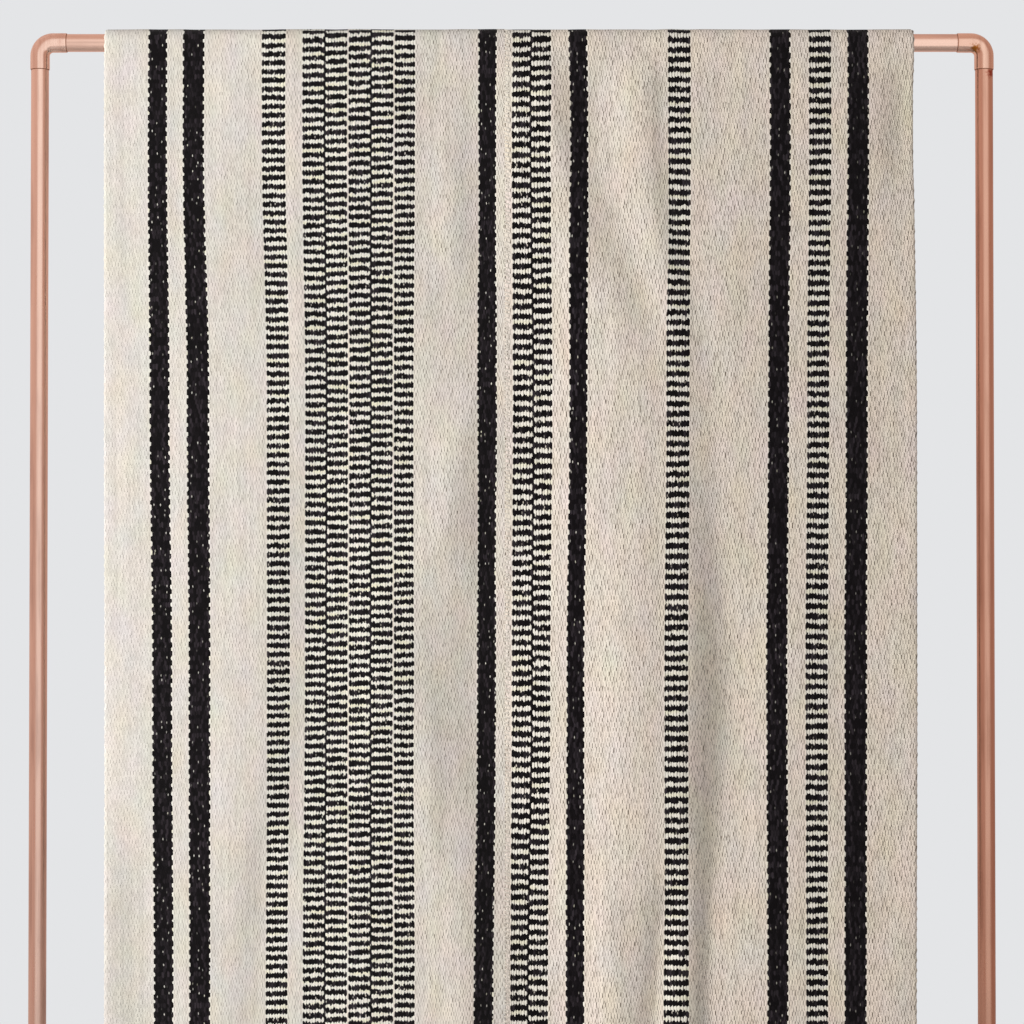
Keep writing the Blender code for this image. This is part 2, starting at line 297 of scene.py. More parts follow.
TEE_REACH = 0.030
SHORTEST_EDGE = 0.00001
CAP_LENGTH = 0.022
CAP_WALL = 0.0012
CAP_CORNER = 0.001
CAP_DOME = 0.0035
DOME_STEPS = 5
RAIL_HEIGHT = (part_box("rack_low_rail")[0].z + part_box("rack_low_rail")[1].z) / 2
FOOT_HEIGHT = FITTING_RADIUS
FOOT_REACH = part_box("rack_foot_cap_left_back")[1].y


def sleeve(name, low, high, radius, lips):
    """A solid round bar from low to high, with rounded rims where lips says so."""
    bottom = [(low + LIP_RADIUS, radius), (low, radius - LIP_RADIUS)] if lips else [(low, radius)]
    top = [(high, radius - LIP_RADIUS), (high - LIP_RADIUS, radius)] if lips else [(high, radius)]
    outline = [(high, 0.0), *top, *bottom, (low, 0.0)]
    return turned(name, outline)


def tee(node, centre, run, branch):
    """Union of run and branch less their bores, with the slivers that the cuts leave welded shut."""
    overrun = TEE_REACH * 1.2
    steps = (
        ("UNION", sleeve("branch", 0, TEE_REACH, FITTING_RADIUS, True), facing(branch)),
        ("DIFFERENCE", sleeve("run_bore", -overrun, overrun, SOCKET_RADIUS, False), facing(run)),
        ("DIFFERENCE", sleeve("branch_bore", 0, overrun, SOCKET_RADIUS, False), facing(branch)),
    )
    rough = bpy.data.objects.new("rough_tee", sleeve("run", -TEE_REACH, TEE_REACH, FITTING_RADIUS, True))
    rough.matrix_world = facing(run)
    bpy.context.scene.collection.objects.link(rough)
    cutters = []
    for operation, mesh, place in steps:
        cutter = bpy.data.objects.new("cutter", mesh)
        cutter.matrix_world = place @ Matrix.Rotation(math.pi / TURN_STEPS, 4, "Z")
        bpy.context.scene.collection.objects.link(cutter)
        cutters.append(cutter)
        modifier = rough.modifiers.new(operation, "BOOLEAN")
        modifier.operation = operation
        modifier.object = cutter
    mesh = bpy.data.meshes.new_from_object(rough.evaluated_get(bpy.context.evaluated_depsgraph_get()))
    shape = bmesh.new()
    shape.from_mesh(mesh)
    bmesh.ops.remove_doubles(shape, verts=shape.verts[:], dist=SHORTEST_EDGE)
    bmesh.ops.dissolve_degenerate(shape, edges=shape.edges[:], dist=SHORTEST_EDGE)
    shape.to_mesh(mesh)
    shape.free()
    mesh.transform(facing(run))
    for item in (rough, *cutters):
        bpy.data.objects.remove(item)
    add_copper(node, mesh, Matrix.Translation(centre), FITTING_COPPER)


dome = [
    (CAP_LENGTH - CAP_DOME * (1 - math.sin(math.pi / 2 * i / DOME_STEPS)),
     FITTING_RADIUS - CAP_DOME * (1 - math.cos(math.pi / 2 * i / DOME_STEPS)))
    for i in range(DOME_STEPS + 1)
]
cap_outline = lip(0, -1, SOCKET_RADIUS)[::-1] + dome + [
    (CAP_LENGTH, 0.0),
    (CAP_LENGTH - CAP_WALL, 0.0),
    (CAP_LENGTH - CAP_WALL, SOCKET_RADIUS - CAP_CORNER),
    (CAP_LENGTH - CAP_DOME, SOCKET_RADIUS),
]
for label, side in (("left", -1), ("right", 1)):
    x = side * POST_X
    tee(f"rack_rail_tee_{label}", (x, 0, RAIL_HEIGHT), (0, 0, 1), (-side, 0, 0))
    tee(f"rack_foot_tee_{label}", (x, 0, FOOT_HEIGHT), (0, 1, 0), (0, 0, 1))
    for end, way in (("front", -1), ("back", 1)):
        node = f"rack_foot_cap_{label}_{end}"
        mouth = (x, way * (FOOT_REACH - CAP_LENGTH), FOOT_HEIGHT)
        place = Matrix.Translation(mouth) @ facing((0, way, 0))
        add_copper(node, turned(node, cap_outline), place, FITTING_COPPER)


# The rug: two long panels of handspun wool, woven warp-faced on a narrow loom, so that the
# stripes are set by the warp and run the rug's whole length. Where black and cream ends take
# turns in the warp, every second pick shows black: the ladders. It hangs over the bar.

RUG_THICKNESS = 0.0055
BEND_RADIUS = 0.01155
BACK_DROP = 1.095
FRONT_DROP = BAR_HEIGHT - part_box("rug_panel_left")[0].z
MIDDLE_RADIUS = BEND_RADIUS + RUG_THICKNESS / 2
CLOTH_LENGTH = FRONT_DROP + math.pi * MIDDLE_RADIUS + BACK_DROP
ROWS_A_PICK = 2
PANEL_COLUMNS = 68
EDGE_COLUMNS = (0, 0.2, 0.5, 1.0)
RIB_HEIGHT = 0.00035
LUMP_HEIGHT = 0.0004
LUMP_SIZE = 0.022
LUMP_TABLE = 256
PICK_WANDER = 0.0014
PICK_WANDER_SIZE = 0.110
SELVEDGE_ROUND = 0.0030
SEAM_ROUND = 0.0009
SEAM_EDGE = 0.90
THINNEST_EDGE = 0.25
SELVEDGE_LOOP = 0.0009
LOOP_CHANGE_SIZE = 0.02
TILT_FADE = 0.05

# Depths below the bar at which the folds and the stripes' places are described, and the depth
# by which the folds have risen from the bar's straight line
DROPS = (0.12, 0.45, 0.80, 1.20)
FADE_DROP = 0.07

# A crest or a hollow that runs down the cloth: its x and how far it stands out from the plane
# below the bar, at the four depths
Fold = namedtuple("Fold", "name x_top x_high x_mid x_low out_top out_high out_mid out_low")

FRONT_FOLDS = (
    Fold("left edge", -0.509, -0.508, -0.507, -0.506, 0.000, 0.001, 0.001, 0.001),
    Fold("left swell", -0.360, -0.318, -0.315, -0.365, 0.002, 0.004, 0.006, 0.006),
    Fold("left hollow", -0.300, -0.255, -0.245, -0.305, 0.000, 0.001, -0.001, 0.001),
    Fold("broad swell", -0.150, -0.110, -0.130, -0.080, 0.004, 0.006, 0.008, 0.009),
    Fold("seam hollow", -0.035, -0.020, -0.036, 0.020, 0.000, 0.003, -0.006, 0.002),
    Fold("centre fold", 0.050, 0.155, 0.165, 0.150, 0.010, 0.022, 0.024, 0.017),
    Fold("crease", 0.110, 0.190, 0.186, 0.184, 0.000, 0.0195, 0.0225, 0.015),
    Fold("main fold", 0.166, 0.205, 0.208, 0.213, 0.010, 0.020, 0.0245, 0.016),
    Fold("main hollow", 0.190, 0.255, 0.272, 0.247, 0.003, 0.014, 0.000, 0.002),
    Fold("right swell", 0.310, 0.345, 0.345, 0.330, 0.001, 0.009, 0.003, 0.002),
    Fold("right hollow", 0.440, 0.430, 0.430, 0.430, 0.001, 0.002, 0.000, -0.001),
    Fold("right edge", 0.503, 0.505, 0.505, 0.504, -0.005, -0.001, 0.000, -0.001),
)
BACK_FOLDS = (
    Fold("left edge", -0.509, -0.508, -0.507, -0.506, 0.000, 0.001, 0.002, 0.004),
    Fold("left swell", -0.300, -0.295, -0.290, -0.285, 0.003, 0.006, 0.009, 0.012),
    Fold("middle hollow", -0.080, -0.070, -0.060, -0.070, 0.000, -0.002, -0.003, -0.004),
    Fold("middle fold", 0.110, 0.115, 0.120, 0.100, 0.004, 0.009, 0.013, 0.016),
    Fold("right hollow", 0.270, 0.280, 0.290, 0.280, 0.000, -0.002, -0.003, -0.002),
    Fold("right swell", 0.400, 0.405, 0.410, 0.405, 0.002, 0.005, 0.007, 0.010),
    Fold("right edge", 0.503, 0.505, 0.505, 0.504, 0.000, 0.001, 0.001, 0.002),
)

# A soft ridge, or a trough where its height is below zero, along a line down the front fall
Crease = namedtuple("Crease", "name x_start drop_start x_end drop_end width height")

CREASES = (
    Crease("ridge beside the fourth stripe", 0.032, 0.000, 0.066, 0.200, 0.015, 0.0035),
    Crease("ridge left of the seam", -0.083, 0.080, -0.075, 0.330, 0.018, 0.0030),
    Crease("trough under the third stripe", -0.033, 0.120, -0.033, 0.330, 0.013, -0.0015),
    Crease("slanting ridge", -0.052, 0.420, -0.096, 0.680, 0.019, 0.0032),
    Crease("trough beside the seam", -0.034, 0.520, -0.033, 0.720, 0.014, -0.0028),
    Crease("low ridge left of the seam", -0.103, 0.790, -0.101, 1.060, 0.014, 0.0026),
    Crease("low ridge on the centre fold", 0.114, 1.000, 0.132, 1.400, 0.020, 0.0045),
    Crease("low trough on the centre fold", 0.198, 0.980, 0.160, 1.400, 0.018, -0.0070),
    Crease("low swell by the third stripe", -0.052, 0.840, -0.052, 1.400, 0.022, 0.0028),
    Crease("ridge in the broad ladder", -0.262, 0.280, -0.262, 0.580, 0.015, 0.0020),
    Crease("turned top right corner", 0.490, 0.010, 0.490, 0.200, 0.028, -0.0055),
    Crease("low right selvedge", 0.512, 1.080, 0.512, 1.500, 0.030, -0.0040),
    Crease("ridge by the left selvedge", -0.508, 0.920, -0.508, 1.500, 0.038, 0.0080),
    Crease("dimple under the narrow ladder", -0.312, 0.960, -0.312, 1.120, 0.020, -0.0020),
    Crease("dent in the broad ladder", -0.160, 0.110, -0.178, 0.290, 0.012, -0.0015),
)
CREASE_FADE = 0.3
RIPPLE_HEIGHT = 0.0009
RIPPLE_SIZE = (0.034, 0.260)

# Where a warp end lies across the rug, in metres, at the four depths
Station = namedtuple("Station", "name ends x_top x_high x_mid x_low")

LEFT_STATIONS = (
    Station("selvedge", 0, -0.5095, -0.5085, -0.5070, -0.5055),
    Station("first stripe", 38.5, -0.4413, -0.4380, -0.4330, -0.4298),
    Station("second stripe", 66, -0.3968, -0.3892, -0.3868, -0.3860),
    Station("narrow ladder", 121, -0.2985, -0.2915, -0.2910, -0.2925),
    Station("broad ladder's left", 141, -0.2600, -0.2563, -0.2565, -0.2583),
    Station("broad ladder's right", 219, -0.1195, -0.1210, -0.1205, -0.1188),
    Station("third stripe's left", 263, -0.0404, -0.0419, -0.0424, -0.0470),
    Station("third stripe's right", 277, -0.0191, -0.0188, -0.0198, -0.0243),
    Station("seam", 284, -0.00803, -0.00803, -0.00803, -0.00803),
)
RIGHT_STATIONS = (
    Station("seam", 0, -0.00797, -0.00797, -0.00797, -0.00797),
    Station("ladder's left", 5, 0.0030, 0.0040, 0.0026, -0.0015),
    Station("double ladder", 18.5, 0.0254, 0.0290, 0.0278, 0.0213),
    Station("fourth stripe", 50, 0.0834, 0.0842, 0.0801, 0.0803),
    Station("fold ladder", 122, 0.2105, 0.2066, 0.2038, 0.2046),
    Station("fifth stripe", 193, 0.3357, 0.3322, 0.3303, 0.3308),
    Station("right ladder", 221.5, 0.3855, 0.3810, 0.3790, 0.3793),
    Station("sixth stripe", 249.5, 0.4329, 0.4298, 0.4281, 0.4270),
    Station("selvedge", 292, 0.5025, 0.5050, 0.5045, 0.5030),
)

# A run of black warp: its first end, how many ends it takes, and which of them are black
Stripe = namedtuple("Stripe", "start ends black")

LEFT_WARP = (
    Stripe(32, 13, "all"), Stripe(58, 15, "all"), Stripe(114, 15, "even"),
    Stripe(141, 15, "odd"), Stripe(156, 16, "even"), Stripe(172, 16, "odd"), Stripe(188, 16, "even"),
    Stripe(204, 15, "odd"), Stripe(263, 14, "all"),
)
RIGHT_WARP = (
    Stripe(5, 13, "odd"), Stripe(18, 13, "even"), Stripe(44, 12, "all"), Stripe(114, 16, "even"),
    Stripe(186, 14, "all"), Stripe(214, 15, "even"), Stripe(242, 15, "all"),
)


def ease(t):
    """Smooth step from 0 to 1."""
    t = np.clip(t, 0.0, 1.0)
    return t * t * (3 - 2 * t)


def at_drop(drop, *values):
    """Blend the values given for the four depths."""
    blend = np.full_like(drop, values[0])
    for i in range(len(DROPS) - 1):
        share = ease((drop - DROPS[i]) / (DROPS[i + 1] - DROPS[i]))
        blend += (values[i + 1] - values[i]) * share
    return blend


def fold_depth(folds, x, drop):
    """How far the cloth stands out from the plane below the bar."""
    lines = [at_drop(drop, *fold[1:5]) for fold in folds]
    outs = [at_drop(drop, *fold[5:]) for fold in folds]
    depth = outs[0].copy()
    for i in range(len(folds) - 1):
        share = ease((x - lines[i]) / (lines[i + 1] - lines[i]))
        depth = np.where(x > lines[i], outs[i] + (outs[i + 1] - outs[i]) * share, depth)
    return depth * ease(drop / FADE_DROP)


def crease_depth(x, drop):
    """What the creases add to the front fall."""
    depth = np.zeros_like(x)
    for crease in CREASES:
        share = (drop - crease.drop_start) / (crease.drop_end - crease.drop_start)
        line = crease.x_start + (crease.x_end - crease.x_start) * np.clip(share, 0, 1)
        ends = ease(share / CREASE_FADE) * ease((1 - share) / CREASE_FADE)
        depth += crease.height * ends * np.exp(-((x - line) / crease.width) ** 2)
    ripples = lumps(x, drop, RIPPLE_SIZE[0], 5, RIPPLE_SIZE[1])
    return depth + RIPPLE_HEIGHT * ripples * ease(drop / FADE_DROP)


def lumps(x, y, size, seed, length=None):
    """Smooth random lumps from -1 to 1, about size across and length down."""
    values = np.random.default_rng(seed).uniform(-1, 1, (LUMP_TABLE, LUMP_TABLE))
    column, row = x / size, y / (length or size)
    left, below = np.floor(column).astype(int), np.floor(row).astype(int)
    across, up = ease(column - left), ease(row - below)
    corner = [[values[(left + i) % LUMP_TABLE, (below + j) % LUMP_TABLE] for j in (0, 1)]
              for i in (0, 1)]
    low = corner[0][0] + (corner[1][0] - corner[0][0]) * across
    high = corner[0][1] + (corner[1][1] - corner[0][1]) * across
    return low + (high - low) * up


def edge_round(distance, radius, thinnest):
    """Share of the cloth's thickness that is left near an edge."""
    share = 1 - np.clip(distance / radius, 0, 1)
    return np.maximum(np.sqrt(1 - share * share), thinnest)


def cloth_inside(x, run):
    """Points of the cloth's inner face, run metres up the front, over the bar and down the back."""
    front = FRONT_DROP - run
    back = run - FRONT_DROP - math.pi * MIDDLE_RADIUS
    turn = np.clip((run - FRONT_DROP) / MIDDLE_RADIUS, 0, math.pi)
    front_out = fold_depth(FRONT_FOLDS, x, np.maximum(front, 0)) + crease_depth(x, front)
    back_out = fold_depth(BACK_FOLDS, x, np.maximum(back, 0))
    y = -BEND_RADIUS * np.cos(turn)
    y += np.where(back > 0, back_out, 0) - np.where(front > 0, front_out, 0)
    z = BAR_HEIGHT + BEND_RADIUS * np.sin(turn) - np.maximum(front, 0) - np.maximum(back, 0)
    return np.stack([x, y, z], axis=-1)


def across_cloth(stations, ends, run):
    """x of each warp end along the cloth."""
    drop = np.maximum(FRONT_DROP - run, run - FRONT_DROP - math.pi * MIDDLE_RADIUS)
    x = np.zeros_like(run)
    for a, b in zip(stations, stations[1:]):
        share = (ends - a.ends) / (b.ends - a.ends)
        low = at_drop(drop, *a[2:])
        high = at_drop(drop, *b[2:])
        x = np.where((share >= 0) & (share <= 1), low + (high - low) * share, x)
    return x


def woven_panel(name, stations, picks, seam_side, tilt, seed):
    """A closed sheet of one panel. Its "weave" attribute counts warp ends and picks.

    seam_side is 1 where the seam is at the right edge and -1 where it is at the left. tilt is
    how far a pick falls or rises across the panel, per metre.
    """
    width = abs(stations[-1].x_mid - stations[0].x_mid)
    ends = stations[-1].ends
    spacing = width / ends
    near_edge = np.array(EDGE_COLUMNS) * SELVEDGE_ROUND / spacing
    middle_columns = PANEL_COLUMNS - 2 * (len(EDGE_COLUMNS) - 1)
    middle = np.linspace(near_edge[-1], ends - near_edge[-1], middle_columns)
    column_ends = np.concatenate([near_edge[:-1], middle, ends - near_edge[-2::-1]])
    rows = picks * ROWS_A_PICK + 1
    end_place, pick_place = np.meshgrid(column_ends, np.arange(rows) / ROWS_A_PICK)

    run = pick_place * CLOTH_LENGTH / picks
    wander = lumps(end_place * spacing, run, PICK_WANDER_SIZE, seed)
    wander += 2 * lumps(end_place * spacing, run, 3 * PICK_WANDER_SIZE, seed + 3)
    from_hem = np.minimum(run, CLOTH_LENGTH - run)
    skew = tilt * (end_place * spacing - width / 2) * ease(from_hem / TILT_FADE)
    run = np.clip(run + PICK_WANDER * wander + skew, 0, CLOTH_LENGTH)
    x = across_cloth(stations, end_place, run)
    from_left = end_place * spacing
    from_right = width - from_left
    edges = (SEAM_ROUND, SEAM_EDGE), (SELVEDGE_ROUND, THINNEST_EDGE)
    left_share = edge_round(from_left, *edges[seam_side > 0])
    right_share = edge_round(from_right, *edges[seam_side < 0])
    hem_share = edge_round(np.minimum(run, CLOTH_LENGTH - run), SELVEDGE_ROUND, THINNEST_EDGE)
    body = np.minimum(np.minimum(left_share, right_share), hem_share)

    outer_edge = from_right if seam_side < 0 else from_left
    loops = np.sin(math.pi * pick_place) * (0.6 + 0.4 * lumps(x, run, LOOP_CHANGE_SIZE, seed + 1))
    x = x - seam_side * SELVEDGE_LOOP * loops * (1 - ease(outer_edge / (2 * SELVEDGE_ROUND)))

    inside = cloth_inside(x, run)
    normal = np.cross(np.gradient(inside, axis=1), np.gradient(inside, axis=0))
    normal /= np.linalg.norm(normal, axis=-1, keepdims=True)
    relief = RIB_HEIGHT * (np.cos(2 * math.pi * (pick_place - 0.5)) - 1)
    relief += LUMP_HEIGHT * lumps(x, run, LUMP_SIZE, seed + 2)
    outer_lift = RUG_THICKNESS * (1 + body) / 2 + relief * body
    inner_lift = RUG_THICKNESS * (1 - body) / 2
    outer = inside + normal * outer_lift[..., None]
    inner = (inside + normal * inner_lift[..., None])[::ROWS_A_PICK]

    columns = len(column_ends)
    verts = np.concatenate([outer.reshape(-1, 3), inner.reshape(-1, 3)])
    last = columns - 1

    def out_at(row, column):
        return row * columns + column

    def in_at(pick, column):
        return rows * columns + pick * columns + column

    faces = []
    for row in range(rows - 1):
        for column in range(last):
            faces.append((out_at(row, column), out_at(row, column + 1),
                          out_at(row + 1, column + 1), out_at(row + 1, column)))
    for pick in range(picks):
        for column in range(last):
            faces.append((in_at(pick, column), in_at(pick + 1, column),
                          in_at(pick + 1, column + 1), in_at(pick, column + 1)))
        top = pick * ROWS_A_PICK
        rising = [out_at(top + i, 0) for i in range(ROWS_A_PICK + 1)]
        faces.append((*rising, in_at(pick + 1, 0), in_at(pick, 0)))
        falling = [out_at(top + i, last) for i in range(ROWS_A_PICK, -1, -1)]
        faces.append((*falling, in_at(pick, last), in_at(pick + 1, last)))
    for column in range(last):
        faces.append((out_at(0, column + 1), out_at(0, column),
                      in_at(0, column), in_at(0, column + 1)))
        faces.append((out_at(rows - 1, column), out_at(rows - 1, column + 1),
                      in_at(picks, column + 1), in_at(picks, column)))

    mesh = bpy.data.meshes.new(name)
    mesh.from_pydata(verts.tolist(), [], faces)
    mesh.shade_smooth()
    outer_weave = np.stack([end_place, pick_place, np.zeros_like(run)], axis=-1)
    inner_weave = (outer_weave + (0.0, 1.0, 0.0))[::ROWS_A_PICK]
    weave = np.concatenate([outer_weave.reshape(-1, 3), inner_weave.reshape(-1, 3)])
    attribute = mesh.attributes.new("weave", "FLOAT_VECTOR", "POINT")
    attribute.data.foreach_set("vector", weave.ravel().astype(np.float32))
    piece = bpy.data.objects.new(name, mesh)
    bpy.context.scene.collection.objects.link(piece)
    return piece, outer, run


# Handspun wool, undyed cream and natural black: matt, rough and uneven. Each end is a thick
# and thin yarn that floats over one pick and dives under the next, so the face is a brick
# bond of small lentils with pits between them, which hold painted shade. Scales are in warp
# ends and picks.
YELLOWED_WOOL = "#E3DDBE"
LADDER_CREAM = "#E9E7DB"
# Painted highlight on the crowns of black floats
WORN_BLACK = "#332D31"
# Painted shade: the colour that the pits between the floats are darkened towards
PIT_SHADE = "#7C6B5A"
FLOAT_MIDDLE = (0.60, 0.58, 0.0)
FLOAT_ROUNDING = (1.08, 0.50, 1.0)
FLOAT_SHIFT = (0.20, 0.16, 0.0)
FLOAT_SLANT = 0.6
EVEN_LEAN = -0.30
ODD_LEAN = 0.16
LOWEST_FLOAT = 0.85
UNEVEN_LIFT = 0.30
FLOAT_RELIEF = 0.0011
GAP_DEPTH = 48.0
BLACK_BULK = 0.20
SLIT_DEPTH = 27.0
WANDER_REACH = (0.7, 0.6, 0.0)
FLEECE_CAST = (0.15, 0.08, 0.22)
FLEECE_LOW = (0.925, 0.96, 0.89)
LADDER_PALENESS = 0.6
LADDER_LIGHT = 0.07

# How often each unevenness comes again, per warp end and per pick
WANDER_RATE = (0.45, 0.22, 1.0)
FIBRE_RATE = (3.1, 0.8, 1.0)
CLOUD_RATE = (0.03, 0.02, 1.0)
STREAK_RATE = (0.9, 0.012, 1.0)
FLEECE_RATE = (0.055, 0.10, 1.0)
YELLOW_RATE = (0.05, 0.55, 1.0)
SPECK_RATE = (0.26, 0.36, 1.0)

# What the shader knows of the floats of the even ends, or of the odd ones
Floats = namedtuple("Floats", "height relief black chance")


def black_warp(tree, end, warp, parity):
    """1 where an end of this parity is black, 0 where it is cream."""
    black = 0.0
    for stripe in warp:
        if stripe.black in ("all", parity):
            middle = stripe.start + stripe.ends / 2
            inside = add_node(tree, "Math", {0: end, 1: middle, 2: stripe.ends / 2}, operation="COMPARE")
            black = add_node(tree, "Math", {0: inside.outputs[0], 1: black}, operation="MAXIMUM").outputs[0]
    return black


def float_set(tree, bent, warp, number, parity):
    """The floats of the even ends, number 0, or of the odd ends, number 1, half a brick away."""
    shift = 0.25 - number / 2
    cell = add_node(tree, "VectorMath", {0: bent, 1: (0.5, 0.5, 0.0), 2: (shift, shift, 0.0)},
                    operation="MULTIPLY_ADD")
    index = add_node(tree, "VectorMath", {0: cell.outputs[0]}, operation="FLOOR")
    inside = add_node(tree, "VectorMath", {0: cell.outputs[0]}, operation="FRACTION")
    chance = add_node(tree, "TexWhiteNoise", {"Vector": index.outputs[0], "W": float(number)},
                      noise_dimensions="4D")
    luck = add_node(tree, "SeparateXYZ", {0: chance.outputs["Color"]})
    split = add_node(tree, "SeparateXYZ", {0: index.outputs[0]})
    end = add_node(tree, "Math", {0: split.outputs["X"], 1: 2.0, 2: number + 0.5},
                   operation="MULTIPLY_ADD")
    black = black_warp(tree, end.outputs[0], warp, parity)

    # Each float lies a little off its place and at a slant of its own
    moved = add_node(tree, "VectorMath", {0: chance.outputs["Color"], 1: FLOAT_SHIFT,
                                          2: inside.outputs[0]}, operation="MULTIPLY_ADD")
    slant = add_node(tree, "Math", {0: luck.outputs["Z"], 1: FLOAT_SLANT,
                                    2: ODD_LEAN * number + EVEN_LEAN}, operation="MULTIPLY_ADD")
    turned_float = add_node(tree, "VectorRotate", {"Vector": moved.outputs[0], "Center": FLOAT_MIDDLE,
                                                   "Angle": slant.outputs[0]}, rotation_type="Z_AXIS")
    centred = add_node(tree, "VectorMath", {0: turned_float.outputs[0], 1: FLOAT_MIDDLE},
                       operation="SUBTRACT")
    lentil = add_node(tree, "VectorMath", {0: centred.outputs[0], 1: FLOAT_ROUNDING}, operation="DIVIDE")
    fall = add_node(tree, "VectorMath", {0: lentil.outputs[0], 1: lentil.outputs[0]},
                    operation="DOT_PRODUCT")

    # The gap beside a float is deepest at its middle and closes towards its tips
    offset = add_node(tree, "SeparateXYZ", {0: lentil.outputs[0]}).outputs
    square = add_node(tree, "Math", {0: offset["X"], 1: offset["X"]}, operation="MULTIPLY").outputs[0]
    gap = add_node(tree, "Math", {0: square, 1: 3.0}, operation="POWER").outputs[0]
    near_tip = add_node(tree, "Math", {0: offset["Y"], 1: offset["Y"]}, operation="MULTIPLY").outputs[0]
    closing = add_node(tree, "MapRange", {"Value": near_tip, "From Max": 0.30, "To Min": 1.15,
                                          "To Max": 0.15}).outputs[0]

    # Black yarn is the bulkier, and here and there a thin place in it lets the cream beside it
    # through
    lift = add_node(tree, "Math", {0: chance.outputs["Value"], 1: UNEVEN_LIFT, 2: LOWEST_FLOAT},
                    operation="MULTIPLY_ADD")
    lift = add_node(tree, "Math", {0: black, 1: BLACK_BULK, 2: lift.outputs[0]},
                    operation="MULTIPLY_ADD")
    height = add_node(tree, "Math", {0: lift.outputs[0], 1: fall.outputs["Value"]},
                      operation="SUBTRACT").outputs[0]
    thin = add_node(tree, "MapRange", {"Value": luck.outputs["Y"], "From Min": 0.55, "From Max": 0.85,
                                       "To Max": -SLIT_DEPTH}).outputs[0]
    thin = add_node(tree, "Math", {0: thin, 1: black}, operation="MULTIPLY").outputs[0]
    height = add_node(tree, "Math", {0: gap, 1: thin, 2: height}, operation="MULTIPLY_ADD").outputs[0]
    parting = add_node(tree, "Math", {0: luck.outputs["Y"], 1: -1.6 * GAP_DEPTH, 2: -0.3 * GAP_DEPTH},
                       operation="MULTIPLY_ADD").outputs[0]
    parting = add_node(tree, "Math", {0: parting, 1: closing}, operation="MULTIPLY").outputs[0]
    relief = add_node(tree, "Math", {0: gap, 1: parting, 2: height}, operation="MULTIPLY_ADD").outputs[0]
    return Floats(height, relief, black, chance.outputs["Color"])


def cream_yarn(tree, place, across, beside, creams):
    """The colour of the cream wool, with painted light that makes it lighter towards the right, before its
    light and dark.
    """
    # Painted light: the cream is lighter towards each panel's right and lighter still on the right panel, to
    # make up for the lamp's light falling off across the rug
    cream = add_node(tree, "MixRGB", {0: across, 1: linear(creams[0]), 2: linear(creams[1])}).outputs[0]

    # Each fleece differs a little, so the cream is pinker in one place and greener in another
    fleece_place = add_node(tree, "VectorMath", {0: place, 1: FLEECE_RATE}, operation="MULTIPLY")
    fleece = add_node(tree, "TexNoise", {"Vector": fleece_place.outputs[0], "Scale": 1.0, "Detail": 1.0})
    cast = add_node(tree, "VectorMath", {0: fleece.outputs["Color"], 1: FLEECE_CAST, 2: FLEECE_LOW},
                    operation="MULTIPLY_ADD")
    cream = add_node(tree, "VectorMath", {0: cream, 1: cast.outputs[0]}, operation="MULTIPLY").outputs[0]

    # A ladder's cream floats stand alone, so they look paler, and some picks of them are yellower
    pale = add_node(tree, "Math", {0: beside, 1: LADDER_PALENESS}, operation="MULTIPLY").outputs[0]
    cream = add_node(tree, "MixRGB", {0: pale, 1: cream, 2: linear(LADDER_CREAM)}).outputs[0]
    row_place = add_node(tree, "VectorMath", {0: place, 1: YELLOW_RATE}, operation="MULTIPLY")
    rows = add_node(tree, "TexNoise", {"Vector": row_place.outputs[0], "Scale": 1.0, "Detail": 0.0})
    yellow = add_node(tree, "MapRange", {"Value": rows.outputs["Fac"], "From Min": 0.56, "From Max": 0.74,
                                         "To Max": 0.6}).outputs[0]
    yellow = add_node(tree, "Math", {0: yellow, 1: beside}, operation="MULTIPLY").outputs[0]
    return add_node(tree, "MixRGB", {0: yellow, 1: cream, 2: linear(YELLOWED_WOOL)}).outputs[0]


def unparted_warp(tree, bent, across, specks):
    """0 at the specks where a black stripe's warp parts and the cream weft shows, 1 elsewhere."""
    speck_place = add_node(tree, "VectorMath", {0: bent, 1: SPECK_RATE}, operation="MULTIPLY")
    speck = add_node(tree, "TexVoronoi", {"Vector": speck_place.outputs[0], "Scale": 1.0},
                     voronoi_dimensions="2D")
    luck = add_node(tree, "SeparateXYZ", {0: speck.outputs["Color"]}).outputs["X"]
    rare = add_node(tree, "MapRange", {"Value": luck, "From Min": 0.45, "From Max": 1.05}).outputs[0]
    share = add_node(tree, "MapRange", {"Value": across, "To Min": specks[0],
                                        "To Max": specks[1]}).outputs[0]
    rare = add_node(tree, "Math", {0: rare, 1: share}, operation="MULTIPLY").outputs[0]
    near = add_node(tree, "MapRange", {"Value": speck.outputs["Distance"], "From Min": 0.12,
                                       "From Max": 0.05}).outputs[0]
    speck = add_node(tree, "Math", {0: near, 1: rare}, operation="MULTIPLY", use_clamp=True).outputs[0]
    return add_node(tree, "Math", {0: 1.0, 1: speck}, operation="SUBTRACT").outputs[0]


